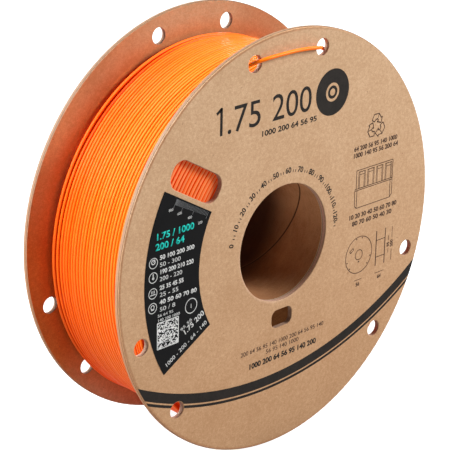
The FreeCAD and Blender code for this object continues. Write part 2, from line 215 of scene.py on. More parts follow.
# Each core is faced with kraft liner on both sides: brown unbleached paper with long fibres,
# darker specks of bark and a faint cloudiness. The die presses its outer edges round.
KRAFT_DARK = srgb(178, 139, 104)
KRAFT_LIGHT = srgb(207, 171, 137)
KRAFT_SPECK = srgb(122, 82, 55)
PLAIN_EDGE = (srgb(150, 122, 102), srgb(170, 142, 120))
FRONT_EDGE = (srgb(174, 144, 116), srgb(192, 162, 134))
FIBRE_LEANS = (0.35, 1.35, 2.3)
SPECK_CELLS_PER_METRE = 110.0
# On the printed face these make the paper paler towards the top, as painted light and shade; on the
# back they only vary its tone at random
KRAFT_LOW_SHADE_AND_TONE = (0.93, 0.87, 0.8, 1.0)
KRAFT_HIGH_LIGHT_AND_TONE = (1.08, 1.12, 1.14, 1.0)
# A darker line just inside the rim, on the left side only: painted shade
PRESSED_LINE_PAINTED_SHADE = (0.82, 0.69, 0.6, 1.0)
LINE_FROM = 0.0983
LINE_TO = 0.0989
# A darker pressed rounding all round the rim: painted shade
PRESSED_EDGE_PAINTED_SHADE = (0.8, 0.72, 0.66, 1.0)
EDGE_FROM = 0.0992
EDGE_TO = 0.0996
# A lighter pressed lip at the bore's lower left: painted highlight
BORE_LIP_PAINTED_HIGHLIGHT = (1.09, 1.1, 1.17, 1.0)
LIP_FROM = 0.0286
LIP_TO = 0.0291
# Painted light and shade for the sides towards the filament: orange light from it, lighter below,
# darker towards the top
PAINTED_LIGHT_LOW = (1.22, 1.12, 1.04, 1.0)
PAINTED_LIGHTS_UPWARDS = (
    (-0.85, -0.5, (1.0, 0.5, 0.175, 1.0)),
    (-0.02, 0.46, (1.1, 0.93, 0.7, 1.0)),
    (0.5, 0.84, (0.71, 0.55, 0.42, 1.0)),
    (0.88, 1.0, (0.76, 0.79, 0.72, 1.0)),
)
PAINTED_SHADE_BESIDE = (1.1, 0.76, 0.56, 1.0)
PAINTED_LIGHT_CLOSE = (1.6, 1.6, 1.28, 1.0)
PAINTED_LIGHT_AWAY = (1.05, 1.07, 1.1, 1.0)
PAINTED_LIGHT_TO = 0.099
CLOSE_WIDTH = 0.0024
WINDING_CREST = 0.0886
WINDING_SHIFT = 0.0015
WINDING_DROP = 0.0036


def kraft_finish(name, tint, edge_dark, edge_light):
    """Kraft paper whose colour is multiplied by a tint, with its cut edge."""
    kraft = Finish(name)
    cloud = kraft.noise(0.02, 2.0)
    mottle = kraft.noise(0.0017, 4.0)
    grain = kraft.noise(0.0006, 2.0)
    fibres = [
        kraft.noise(0.0022, 2.0, stretch=(1, 1, 0.12), turn=(0, lean, 0))
        for lean in FIBRE_LEANS
    ]
    fibre = fibres[0].math("MAXIMUM", fibres[1]).math("MAXIMUM", fibres[2])
    strands = kraft.step(fibre, 0.6, 0.78)
    tone = mottle * 0.36 + grain * 0.34 + cloud * 0.17 + strands * 0.13
    colour = kraft.mix(KRAFT_DARK, KRAFT_LIGHT, kraft.step(tone, 0.3, 0.68))
    colour = kraft.mix(colour, tint(kraft), 1.0, "MULTIPLY")
    x, _, z = kraft.axes(kraft.place)
    flat = kraft.node("ShaderNodeCombineXYZ", values={0: x, 1: z})
    settings = {"voronoi_dimensions": "2D", "feature": "F1"}
    cells = {"Vector": flat, "Scale": SPECK_CELLS_PER_METRE}
    near = kraft.node("ShaderNodeTexVoronoi", settings, cells, "Distance")
    pick = kraft.node("ShaderNodeTexVoronoi", settings, cells, "Color")
    red, green, _ = kraft.axes(pick)
    size = 0.015 + green * 0.03
    speck = (1 - kraft.step(near / size, 0.6, 1.0)) * kraft.step(red, 0.72, 0.76)
    colour = kraft.mix(colour, KRAFT_SPECK, speck * 0.6)
    edge_tone = kraft.step(grain * 0.6 + mottle * 0.4, 0.3, 0.7)
    rim = kraft.mix(edge_dark, edge_light, edge_tone)
    rim = kraft.mix(rim, kraft.painted_rim_light_and_shade(), 1.0, "MULTIPLY")
    at_rim = kraft.at_rim()
    edge = kraft.mix(kraft.mix(HOLE_DARK, HOLE_LIGHT, edge_tone), rim, at_rim)
    facing = kraft.facing()
    # At the outer rim the edge's colour also covers the pressed rounding, as painted shade there;
    # inside the openings only the wall takes it
    wall_share = kraft.step(facing, 0.05, 0.2)
    rim_share = kraft.step(facing, 0.25, 0.75)
    colour = kraft.mix(edge, colour, wall_share + (rim_share - wall_share) * at_rim)
    relief = kraft.bump(tone + strands * 0.3, 0.00004, 0.8)
    roughness = 0.62 + mottle * 0.22
    return kraft.finish(
        Base_Color=colour, Roughness=roughness, Specular_IOR_Level=0.15, Normal=relief,
    )


def face_tint(kraft):
    """Painted light and shade on the printed face: paler towards the top, a darker line inside the
    rim on the left, a darker pressed rounding at the rim, and a lighter lip at the bore's lower
    left.
    """
    x, _, z = kraft.axes(kraft.place)
    tint = kraft.mix(KRAFT_LOW_SHADE_AND_TONE, KRAFT_HIGH_LIGHT_AND_TONE, kraft.step(z, -0.09, 0.09))
    reach = kraft.reach()
    line = kraft.step(reach, LINE_FROM, LINE_TO)
    left = 1 - kraft.step(x, -0.02, 0.06)
    tint = kraft.mix(tint, PRESSED_LINE_PAINTED_SHADE, line * left)
    beyond = kraft.step(reach, EDGE_FROM, EDGE_TO)
    tint = kraft.mix(tint, PRESSED_EDGE_PAINTED_SHADE, beyond)
    low_left = kraft.step(-1.0 * x - z, 0.0, 0.03)
    lip = (1 - kraft.step(reach, LIP_FROM, LIP_TO)) * low_left
    return kraft.mix(tint, BORE_LIP_PAINTED_HIGHLIGHT, lip)


def plain_tint(kraft):
    """The back of the spool, as the paper is."""
    return kraft.mix(KRAFT_LOW_SHADE_AND_TONE, KRAFT_HIGH_LIGHT_AND_TONE, kraft.noise(0.05))


def inner_tint(kraft):
    """The sides towards the filament: painted orange light from it and painted shade, changing with
    height, most of all close beside it.
    """
    upright = kraft.upright()
    painted_light = PAINTED_LIGHT_LOW
    for low, high, colour in PAINTED_LIGHTS_UPWARDS:
        painted_light = kraft.mix(painted_light, colour, kraft.step(upright, low, high))
    away = kraft.reach(WINDING_SHIFT, WINDING_DROP)
    beside = kraft.mix(PAINTED_SHADE_BESIDE, PAINTED_LIGHT_AWAY, kraft.step(away, WINDING_CREST, PAINTED_LIGHT_TO))
    shoulder = kraft.step(upright, 0.4, 0.6) * (1 - kraft.step(upright, 0.86, 0.94))
    close = 1 - kraft.step(away, WINDING_CREST, WINDING_CREST + CLOSE_WIDTH)
    close_light = kraft.mix(WHITE, PAINTED_LIGHT_CLOSE, close * shoulder)
    painted_light = kraft.mix(painted_light, close_light, 1.0, "MULTIPLY")
    return kraft.mix(painted_light, beside, 1.0, "MULTIPLY")


paint(kraft_finish("kraft_printed", face_tint, *FRONT_EDGE), "front_outer_liner")
paint(kraft_finish("kraft_plain", plain_tint, *PLAIN_EDGE), "rear_outer_liner")
kraft_inside = kraft_finish("kraft_inside", inner_tint, *PLAIN_EDGE)
paint(kraft_inside, "front_inner_liner", "rear_inner_liner")


# The bore tube and the hub tube are spiral wound from strips of brown paper. The bore's thin
# lining shows one long spiral seam, where the strip's edges meet.
TUBE_DARK = srgb(120, 76, 42)
TUBE_LIGHT = srgb(164, 112, 68)
LINING_DARK = srgb(166, 114, 75)
LINING_LIGHT = srgb(204, 152, 109)
SEAM_PITCH = 0.0824
SEAM_START = -0.0114
SEAM_HALF_WIDTH = 0.00032
SEAM_STEP = 0.0001
SEAM_LIP = 0.0012
BORE_PAINTED_SHADE = srgb(58, 21, 6)
SEAM_DARK = srgb(20, 8, 5)


def tube_finish(name, dark, light, seam=False, glow=0.0):
    """Brown tube paper, smoother than the liners. Between the tubes it glows a little: painted
    light in place of the light that reaches in through the slots.
    """
    tube = Finish(name)
    streaks = tube.noise(0.004, 3.0, stretch=(1, 0.4, 1))
    grain = tube.noise(0.0007, 2.0)
    cloud = tube.noise(0.018, 2.0)
    tone = streaks * 0.22 + grain * 0.28 + cloud * 0.5
    colour = tube.mix(dark, light, tube.step(tone, 0.3, 0.7))
    height = tone
    if seam:
        x, y, z = tube.axes(tube.place)
        turn = z.math("ARCTAN2", x) / (2 * math.pi)
        across = (y - SEAM_START + turn * SEAM_PITCH).math("WRAP", SEAM_PITCH / 2, -SEAM_PITCH / 2)
        line = 1 - tube.step(across.math("ABSOLUTE"), SEAM_HALF_WIDTH * 0.5, SEAM_HALF_WIDTH * 2)
        raised = tube.step(across, -SEAM_STEP, SEAM_STEP)
        lip = (1 - tube.step(across, 0.0, SEAM_LIP)) * raised
        # Painted shade: the lining is darker deep inside the bore and towards its bottom
        colour = tube.mix(colour, BORE_PAINTED_SHADE, tube.step(y, -0.013, 0.008) * 0.94)
        colour = tube.mix(colour, BORE_PAINTED_SHADE, tube.step(z, -0.018, -0.027) * 0.35)
        colour = tube.mix(colour, SEAM_DARK, line * 0.95)
        colour = tube.mix(colour, light, lip * 0.2)
        height = tone * 0.3 + raised - line
    relief = tube.bump(height, 0.00005)
    return tube.finish(
        Base_Color=colour,
        Roughness=0.7 + grain * 0.2,
        Specular_IOR_Level=0.06,
        Normal=relief,
        Emission_Color=colour,
        Emission_Strength=glow,
    )


# The tubes' small glow is painted light
tube_paper = tube_finish("tube_paper", TUBE_DARK, TUBE_LIGHT, glow=0.2)
paint(tube_paper, "bore_tube", "hub_tube", "hub_cover_ply")
lining_paper = tube_finish("bore_lining_paper", LINING_DARK, LINING_LIGHT, seam=True)
paint(lining_paper, "bore_lining_ply")


# White wood glue, dried yellowish, holds each end of both tubes to its flange. It lies in a
# thin ring between the tube's cut end and the flange's inner liner.
GLUE_DARK = srgb(206, 186, 146)
GLUE_LIGHT = srgb(238, 228, 200)

glue = Finish("dried_glue")
beads = glue.noise(0.002, 3.0)
smear = glue.noise(0.009, 2.0)
glue_colour = glue.mix(GLUE_DARK, GLUE_LIGHT, glue.step(smear, 0.3, 0.7))
glue_skin = glue.bump(beads, 0.0001)
paint(
    glue.finish(Base_Color=glue_colour, Roughness=0.3 + beads * 0.3, Normal=glue_skin),
    "front_bore_glue", "rear_bore_glue", "front_hub_glue", "rear_hub_glue",
)


# The filament is extruded plastic, glossy orange, wound in layers on the hub. The layers under
# the outermost one are a ring of strands, whose turns show as ridges at the sides. They lie
# unevenly, so the winding's outside is centred a little below the bore and to its right.
WIRE = 0.00175
PACK_HALF_WIDTH = 0.0293
PACK_INNER = 0.0476
PACK_CLEARANCE = 0.0001
PACK_OUTER = WINDING_CREST - WIRE - PACK_CLEARANCE
random.seed(7)


def select_only(*pieces):
    """Select these pieces and nothing else. The first becomes the active one."""
    bpy.ops.object.select_all(action="DESELECT")
    for piece in pieces:
        piece.select_set(True)
    bpy.context.view_layer.objects.active = pieces[0]


def named(name):
    """Name the object that an operator has just added, and its mesh."""
    piece = bpy.context.object
    piece.name = name
    piece.data.name = name
    return piece


def dress(piece, material, slot=None, *replaced):
    """Give a finished piece its material, its body and the nodes that it stands for."""
    piece.data.materials.clear()
    piece.data.materials.append(material)
    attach(piece, "root")
    if replaced:
        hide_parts(*replaced)


def apply_modifier(piece, kind, **settings):
    """Add a modifier with its settings and apply it."""
    select_only(piece)
    modifier = piece.modifiers.new(kind.lower(), kind)
    for name, value in settings.items():
        setattr(modifier, name, value)
    bpy.ops.object.modifier_apply(modifier=modifier.name)


FILAMENT_DEEP = (0.93, 0.165, 0.002, 1.0)
FILAMENT_BRIGHT = (0.96, 0.192, 0.004, 1.0)
# Beside the plastic's own orange, these are painted sheen, painted shade and painted glow for the
# winding
FILAMENT_PAINTED_SHEEN = (0.76, 0.2, 0.065, 1.0)
FILAMENT_CREST_SHEEN = (0.97, 0.2, 0.022, 1.0)
FILAMENT_VALLEY_SHADE = (0.93, 0.094, 0.001, 1.0)
SIDE_PAINTED_GLOW = (0.6, 0.07, 0.016, 1.0)
FILAMENT_PAINTED_HOLLOW = (0.66, 0.035, 0.001, 1.0)
FILAMENT_PAINTED_UNDER = (0.4, 0.01, 0.0, 1.0)
REAR_TURNS_SHADE = (0.91, 0.66, 0.46, 1.0)
LOW_TURNS_SHADE = (0.97, 0.86, 0.8, 1.0)
STRAND_PAINTED_GLOW = (0.31, 0.016, 0.0, 1.0)
LOW_PAINTED_GLOW = (0.85, 0.02, 0.0, 1.0)
BLACK = (0.0, 0.0, 0.0, 1.0)


def filament_finish(name, shade=None, glow=0.0):
    """Glossy orange plastic. A painted glow in its hollows stands in for the light that it lets
    through.
    """
    plastic = Finish(name)
    drift = plastic.noise(0.02, 2.0)
    draw_marks = plastic.noise(0.0012, 2.0)
    tone = plastic.step(drift * 0.8 + draw_marks * 0.2, 0.3, 0.7)
    colour = plastic.mix(FILAMENT_DEEP, FILAMENT_BRIGHT, tone)
    painted_glow = BLACK
    if shade:
        colour, painted_glow = shade(plastic, colour)
    skin = plastic.bump(draw_marks, 0.00001, 0.2)
    return plastic.finish(
        Base_Color=colour,
        Roughness=0.33 + draw_marks * 0.08,
        Specular_IOR_Level=0.13,
        Normal=skin,
        Emission_Color=painted_glow,
        Emission_Strength=glow,
    )


def pack_shade(plastic, colour):
    """Painted sheen on the crests of the pack's sides, painted red shade in its hollows, dark red
    painted shade under the outer layer, and a painted glow.
    """
    _, y, _ = plastic.axes(plastic.place)
    depth = (PACK_HALF_WIDTH - y.math("ABSOLUTE")) / WIRE
    colour = plastic.mix(FILAMENT_PAINTED_SHEEN, colour, plastic.step(depth, 0.06, 0.18))
    colour = plastic.mix(colour, FILAMENT_PAINTED_HOLLOW, plastic.step(depth, 0.1, 0.25))
    under = plastic.step(depth, 0.7, 0.9)
    painted_glow = plastic.mix(SIDE_PAINTED_GLOW, FILAMENT_PAINTED_HOLLOW, plastic.step(depth, 0.06, 0.26))
    painted_glow = plastic.mix(painted_glow, FILAMENT_PAINTED_UNDER, under)
    return plastic.mix(colour, FILAMENT_PAINTED_UNDER, under), painted_glow


def strand_shade(plastic, colour):
    """Painted sheen on the outer strand's crest, painted shade on its redder flanks and hollows,
    darker painted shade at the rear and below, and a painted glow.
    """
    _, y, z = plastic.axes(plastic.place)
    reach = plastic.reach(WINDING_SHIFT, WINDING_DROP)
    upright = z / reach
    depth = (WINDING_CREST - reach) / WIRE
    colour = plastic.mix(FILAMENT_CREST_SHEEN, colour, plastic.step(depth, 0.02, 0.14))
    colour = plastic.mix(colour, FILAMENT_VALLEY_SHADE, plastic.step(depth, 0.1, 0.32))
    colour = plastic.mix(colour, FILAMENT_PAINTED_HOLLOW, plastic.step(depth, 0.34, 0.5))
    rear = plastic.mix(WHITE, REAR_TURNS_SHADE, plastic.step(y, -0.006, 0.024))
    colour = plastic.mix(colour, rear, 1.0, "MULTIPLY")
    low = plastic.mix(WHITE, LOW_TURNS_SHADE, plastic.step(-1.0 * upright, 0.0, 0.5))
    colour = plastic.mix(colour, low, 1.0, "MULTIPLY")
    painted_glow = plastic.mix(BLACK, STRAND_PAINTED_GLOW, plastic.step(depth, 0.25, 0.45))
    painted_glow = plastic.mix(painted_glow, LOW_PAINTED_GLOW, plastic.step(-1.0 * upright, 0.5, 0.95))
    return colour, painted_glow


def ridge(centre, radius, steps, start, end):
    """Points of an arc about a centre, from one angle to another."""
    turns = [start + (end - start) * step / steps for step in range(steps + 1)]
    middle, level = centre
    return [(middle + radius * math.cos(turn), level + radius * math.sin(turn)) for turn in turns]


SIDE_BULGE = 0.0016
SIDE_LEAN = math.radians(42)
SIDE_SUNK = 0.0001
SIDE_PITCH = (0.00225, 0.0026)
LAYER_TURNS = 30
RING_STEPS = 120
SWAY = 0.00018
FINE_SWAY = 0.0001


def pack_profile():
    """The ring's outline, as pairs of distance from the axis and place along it."""
    half = WIRE / 2
    side_centres = []
    reach = PACK_INNER + SIDE_BULGE
    while reach < PACK_OUTER - SIDE_BULGE:
        side_centres.append((reach, random.uniform(0.0, SIDE_SUNK)))
        reach += random.uniform(*SIDE_PITCH)
    front = []
    for centre, sunk in side_centres:
        middle = (centre, -PACK_HALF_WIDTH + SIDE_BULGE + sunk)
        front += ridge(middle, SIDE_BULGE, 6, math.pi + SIDE_LEAN, 2 * math.pi - SIDE_LEAN)
    travel = 2 * (PACK_HALF_WIDTH - half)
    outside = []
    for number in range(LAYER_TURNS):
        y = -travel / 2 + travel * (number + 0.5) / LAYER_TURNS
        outside += ridge((PACK_OUTER - half, y), half, 5, -math.pi / 2, math.pi / 2)
    rear = [(reach, -y) for reach, y in reversed(front)]
    return front + outside + rear


profile = pack_profile()
bpy.ops.object.select_all(action="DESELECT")
bpy.ops.mesh.primitive_circle_add(vertices=len(profile), radius=PACK_OUTER, fill_type="NOTHING")
pack = named("wound_layers")
for vertex, (reach, y) in zip(pack.data.vertices, profile):
    vertex.co = (reach, y, 0.0)
apply_modifier(
    pack, "SCREW", axis="Y", steps=RING_STEPS, render_steps=RING_STEPS,
    use_merge_vertices=True, merge_threshold=0.00001,
)
for vertex in pack.data.vertices:
    reach = math.hypot(vertex.co.x, vertex.co.z)
    turned = math.atan2(vertex.co.z, vertex.co.x)
    outwards = (reach - PACK_INNER) / (PACK_OUTER - PACK_INNER)
    if abs(vertex.co.y) > PACK_HALF_WIDTH - WIRE and reach < PACK_OUTER - WIRE:
        sway = SWAY * math.sin(turned + reach * 9000)
        sway += FINE_SWAY * math.sin(2 * turned + reach * 5200)
        vertex.co.x += sway * math.cos(turned)
        vertex.co.z += sway * math.sin(turned)
    vertex.co.x += WINDING_SHIFT * outwards
    vertex.co.z -= WINDING_DROP * outwards
select_only(pack)
bpy.ops.object.mode_set(mode="EDIT")
bpy.ops.mesh.select_all(action="SELECT")
bpy.ops.mesh.normals_make_consistent(inside=False)
bpy.ops.object.mode_set(mode="OBJECT")
bpy.ops.object.shade_smooth_by_angle(angle=math.radians(50))
pack_finish = filament_finish("wound_filament", pack_shade, glow=0.22)
dress(pack, pack_finish, "filament", "filament_inner_layers")


# The outermost layer is one strand, laid turn beside turn from the rear flange to the front
# one. The first few turns lie apart, with the layer below showing between them.
TURNS = 29.75
WIDE_TURNS = 3
WIDE_GAP = 0.00055
ASIDE = 0.000025
LIFT = 0.00005
FINE_LIFT = 0.00004
FIRST_TURN_LIFT = 0.0004
SECOND_TURN_DIP = 0.0005
DIP_ANGLE = 128
DIP_HALF_WIDTH = 34
STEPS_PER_TURN = 120
LAYER_RADIUS = WINDING_CREST - WIRE / 2
LEAVE_ANGLE = math.radians(158)
START_ANGLE = LEAVE_ANGLE + TURNS * 2 * math.pi
LAYER_TRAVEL = 2 * (PACK_HALF_WIDTH - WIRE / 2)
TURN_PITCH = (LAYER_TRAVEL - WIDE_TURNS * WIDE_GAP) / TURNS
waver = [(random.uniform(0.08, 0.9), random.uniform(0, 2 * math.pi)) for _ in range(6)]


def hump(angle, middle, half_width):
    """1 at the middle angle, falling smoothly to 0 at half a width away, in degrees."""
    away = abs((math.degrees(angle) - middle + 180) % 360 - 180) / half_width
    return 0.0 if away >= 1 else 0.5 + 0.5 * math.cos(math.pi * away)


def strand_point(turn):
    """Where the outer strand lies after that many turns from the rear flange."""
    angle = START_ANGLE - turn * 2 * math.pi
    settle = min(1.0, turn / 2, (TURNS - turn) / 1.5)
    aside = sum(ASIDE * math.sin(2 * math.pi * rate * turn + start) for rate, start in waver)
    lift = LIFT * math.sin(2 * math.pi * 0.31 * turn)
    lift += FINE_LIFT * math.sin(2 * math.pi * 0.83 * turn)
    reach = LAYER_RADIUS + lift * settle
    if turn < 1.0:
        reach += FIRST_TURN_LIFT * min(1.0, turn / 0.1, (1.0 - turn) / 0.1)
    elif turn < 2.2:
        reach -= SECOND_TURN_DIP * hump(angle, DIP_ANGLE, DIP_HALF_WIDTH)
    y = LAYER_TRAVEL / 2 - TURN_PITCH * turn - WIDE_GAP * min(turn, WIDE_TURNS) + aside * settle
    x = WINDING_SHIFT + reach * math.cos(angle)
    z = reach * math.sin(angle) - WINDING_DROP
    return Vector((x, y, z))


def strand_curve(name, points, order=None):
    """A round strand of filament along the points, as a curve."""
    data = bpy.data.curves.new(name, "CURVE")
    data.dimensions = "3D"
    data.bevel_depth = WIRE / 2
    data.bevel_resolution = 2
    data.use_fill_caps = True
    line = data.splines.new("NURBS" if order else "POLY")
    line.points.add(len(points) - 1)
    for point, place in zip(line.points, points):
        point.co = (*place, 1.0)
    if order:
        line.order_u = order
        line.use_endpoint_u = True
        line.resolution_u = 12
    strand = bpy.data.objects.new(name, data)
    bpy.context.scene.collection.objects.link(strand)
    select_only(strand)
    bpy.ops.object.convert(target="MESH")
    piece = named(name)
    bpy.ops.object.shade_smooth()
    return piece


outer_steps = round(TURNS * STEPS_PER_TURN)
outer_points = [strand_point(step / STEPS_PER_TURN) for step in range(outer_steps + 1)]
outer_layer = strand_curve("wound_outer_strand", outer_points)
outer_finish = filament_finish("outer_filament", strand_shade, glow=0.3)
dress(outer_layer, outer_finish, "filament", "filament_outer_turns")


# The strand's loose end leaves the last turn, comes out through one hole of the top pair,
# crosses the front face and goes back in through the other, which keeps it from unwinding.
HOLE_CIRCLE = 0.0907
FACE = 0.032
FIRST_RUN = 0.012
SIDEWAYS = -0.004
LOOSE_END_ROUTE = [
    (136.6, -5.4, -3.6),
    (124.7, -3.9, -3.7),
    (115.8, -2.5, -3.9),
    (110.3, -1.5, -4.1),
    (105.5, -0.6, -3.9),
    (101.4, 1.2, 2.0),
    (95.6, 0.1, 2.1),
    (89.4, -0.2, 2.2),
    (83.8, -0.2, 2.0),
    (78.6, 0.0, 2.0),
    (74.5, -0.6, -4.1),
    (68.7, -1.9, -4.4),
    (63.6, -3.1, -4.4),
]
MILLIMETRE = 0.001


def route_point(angle, outside, proud):
    """A point of the loose end: its angle, then how far beyond the holes and out of the face."""
    reach = HOLE_CIRCLE + outside * MILLIMETRE
    turned = math.radians(angle)
    y = -FACE - proud * MILLIMETRE
    return Vector((reach * math.cos(turned), y, reach * math.sin(turned)))


leave_point = outer_points[-1]
leave_way = Vector((math.sin(LEAVE_ANGLE), SIDEWAYS, -math.cos(LEAVE_ANGLE))).normalized()
route = [leave_point + leave_way * run for run in (0.0, WIRE, WIRE + FIRST_RUN)]
route += [route_point(*place) for place in LOOSE_END_ROUTE]
loose_end = strand_curve("loose_strand_end", route, order=3)
dress(loose_end, filament_finish("loose_filament"), "filament", "filament_loose_end")


# The front face is printed in one dark ink, a few hundredths of a millimetre thick, which
# looks browner in fine print. Across its lower part runs a plain curved band with a thin
# line beside it, cut off at the rim.
INK_LIFT = 0.00003
INK_FILM = 0.00002
FACE_LEVEL = -FACE
LABEL_FILM = 0.00015
LABEL_LEVEL = FACE_LEVEL - LABEL_FILM
FLAT_ON_FACE = math.pi / 2
PRINTED_RADIUS = 0.0994

flat_pieces = []


def ink_finish(name, dark, light, roughness):
    """Printing ink, a little uneven where it lies on paper."""
    ink = Finish(name)
    cover = ink.noise(0.0009, 3.0)
    body = ink.noise(0.006, 2.0)
    colour = ink.mix(dark, light, ink.step(cover * 0.5 + body * 0.5, 0.35, 0.75))
    relief = ink.bump(cover, 0.00001, 0.6)
    return ink.finish(
        Base_Color=colour,
        Roughness=roughness + cover * 0.15,
        Specular_IOR_Level=0.12,
        Normal=relief,
    )


dark_ink = ink_finish("dark_ink", srgb(28, 24, 21), srgb(41, 36, 32), 0.6)
brown_ink = ink_finish("thin_dark_ink", srgb(62, 43, 33), srgb(88, 65, 52), 0.6)


def flat_bar(start, end, width):
    """A flat bar between two points of the face, given in millimetres across and up."""
    (x0, z0), (x1, z1) = start, end
    middle = ((x0 + x1) / 2 * MILLIMETRE, 0.0, (z0 + z1) / 2 * MILLIMETRE)
    lean = math.atan2(z1 - z0, x1 - x0)
    length = math.hypot(x1 - x0, z1 - z0)
    turned = (FLAT_ON_FACE, -lean, 0.0)
    bpy.ops.mesh.primitive_plane_add(size=1.0, location=middle, rotation=turned)
    piece = bpy.context.object
    piece.scale = (length * MILLIMETRE, width * MILLIMETRE, 1.0)
    flat_pieces.append(piece)


def flat_path(points, width, closed=False):
    """Flat bars from point to point."""
    ends = points[1:] + points[:1] if closed else points[1:]
    for start, end in zip(points, ends):
        flat_bar(start, end, width)


def flat_ring(centre, outer, inner, sides=48):
    """A flat ring, or a disc where the inner radius is 0."""
    bpy.ops.mesh.primitive_circle_add(
        vertices=sides,
        radius=outer * MILLIMETRE,
        fill_type="NGON",
        location=(centre[0] * MILLIMETRE, 0.0, centre[1] * MILLIMETRE),
        rotation=(FLAT_ON_FACE, 0.0, 0.0),
    )
    piece = bpy.context.object
    if inner > 0:
        bpy.ops.object.mode_set(mode="EDIT")
        bpy.ops.mesh.select_all(action="SELECT")
        bpy.ops.mesh.inset(thickness=(outer - inner) * MILLIMETRE * math.cos(math.pi / sides))
        bpy.ops.mesh.delete(type="FACE")
        bpy.ops.object.mode_set(mode="OBJECT")
    flat_pieces.append(piece)
    return piece


FIGURE_SHARE = 0.73


def flat_number(text, start, height, weight=0.0, turn=0.0, align="LEFT", width=None):
    """Plain figures, from the left end of their base line, drawn out to a width if one is given."""
    bpy.ops.object.text_add(
        location=(start[0] * MILLIMETRE, 0.0, start[1] * MILLIMETRE),
        rotation=(FLAT_ON_FACE, -turn, 0.0),
    )
    figures = bpy.context.object
    figures.data.body = text
    figures.data.size = height / FIGURE_SHARE * MILLIMETRE
    figures.data.align_x = align
    figures.data.offset = weight * MILLIMETRE
    figures.data.resolution_u = 5
    bpy.ops.object.convert(target="MESH")
    figures = bpy.context.object
    if width:
        figures.scale.x = width * MILLIMETRE / figures.dimensions.x
    flat_pieces.append(figures)


def finish_print(name, material, level, slot=None):
    """Join the flat pieces made so far into one printed piece on a surface."""
    pieces = list(flat_pieces)
    flat_pieces.clear()
    select_only(*pieces)
    if len(pieces) > 1:
        bpy.ops.object.join()
    piece = named(name)
    bpy.ops.object.transform_apply(location=True, rotation=True, scale=True)
    for vertex in piece.data.vertices:
        vertex.co.y = level - INK_LIFT
    apply_modifier(piece, "SOLIDIFY", thickness=INK_FILM, offset=-1.0)
    dress(piece, material, slot)


BAND_CENTRE = (-7.0, 113.0)
BAND_RADIUS = 179.8
BAND_WIDTH = 4.8
THIN_RADIUS = 183.6
THIN_WIDTH = 1.3
CROSSED_HOLE = math.radians(223.6)
CROSSED_RADIUS = 0.0043
CUTTER_DEPTH = 0.01


def trim(piece, operation, x, z, radius, sides):
    """Cut a printed piece with a round cutter that stands square to the face."""
    bpy.ops.mesh.primitive_cylinder_add(
        vertices=sides,
        radius=radius,
        depth=CUTTER_DEPTH,
        location=(x, FACE_LEVEL, z),
        rotation=(FLAT_ON_FACE, 0.0, 0.0),
    )
    cutter = bpy.context.object
    apply_modifier(piece, "BOOLEAN", operation=operation, object=cutter, solver="EXACT")
    bpy.data.objects.remove(cutter)


def trimmed_band(name, radius, width):
    """A band of a large circle, trimmed where it reaches the rim and a tuck hole."""
    ring = flat_ring(BAND_CENTRE, radius + width / 2, radius - width / 2, sides=720)
    flat_pieces.clear()
    select_only(ring)
    band = named(name)
    bpy.ops.object.transform_apply(location=True, rotation=True, scale=True)
    for vertex in band.data.vertices:
        vertex.co.y = FACE_LEVEL - INK_LIFT
    apply_modifier(band, "SOLIDIFY", thickness=INK_FILM, offset=-1.0)
    hole_x = HOLE_CIRCLE * math.cos(CROSSED_HOLE)
    hole_z = HOLE_CIRCLE * math.sin(CROSSED_HOLE)
    trim(band, "INTERSECT", 0.0, 0.0, PRINTED_RADIUS, 360)
    trim(band, "DIFFERENCE", hole_x, hole_z, CROSSED_RADIUS, 48)
    dress(band, dark_ink, "printing_ink")


trimmed_band("printed_band", BAND_RADIUS, BAND_WIDTH)
trimmed_band("printed_thin_line", THIN_RADIUS, THIN_WIDTH)


# Above the bore stand large plain figures, for the filament's thickness and the flange, with
# a round mark of a spool beside them and a row of small figures below.
BASE_LINE = 60.0
FIGURE_HEIGHT = 12.6
SPOOL_MARK = (29.0, 65.7)
flat_bar((-41.2, BASE_LINE), (-41.2, BASE_LINE + FIGURE_HEIGHT), 1.5)
flat_bar((-44.0, 70.2), (-41.0, 72.2), 1.4)
flat_number(".75", (-38.2, BASE_LINE), FIGURE_HEIGHT, width=20.0)
flat_number("200", (-10.5, BASE_LINE), FIGURE_HEIGHT, width=25.0)
flat_ring(SPOOL_MARK, 11.0, 4.4, sides=96)
flat_ring(SPOOL_MARK, 3.1, 1.7, sides=48)
finish_print("printed_figures", dark_ink, FACE_LEVEL, "printing_ink")

flat_number("1000 200 64 56 95", (-16.9, 54.3), 2.6, weight=0.09, width=35.0)
finish_print("printed_small_figures", dark_ink, FACE_LEVEL, "printing_ink")


# Round the bore runs a plain scale in the same dark ink. Its figures stand on a circle about
# the bore, with two ticks between each two of them.
SCALE_FIGURES = 13
SCALE_BASE = 33.3
SCALE_FIRST = 168.0
SCALE_STEP = 13.4
TICK_LENGTH = 1.3
for number in range(SCALE_FIGURES):
    place = SCALE_FIRST - number * SCALE_STEP
    along = math.radians(place)
    base = (SCALE_BASE * math.cos(along), SCALE_BASE * math.sin(along))
    flat_number(str(10 * number), base, 2.7, weight=0.1, turn=along - math.pi / 2, align="CENTER")
    for share in (0.4, 0.6):
        tick = math.radians(place - SCALE_STEP * share)
        low = (SCALE_BASE * math.cos(tick), SCALE_BASE * math.sin(tick))
        top = SCALE_BASE + TICK_LENGTH
        high = (top * math.cos(tick), top * math.sin(tick))
        flat_bar(low, high, 0.4)
finish_print("printed_bore_scale", dark_ink, FACE_LEVEL, "printing_ink")


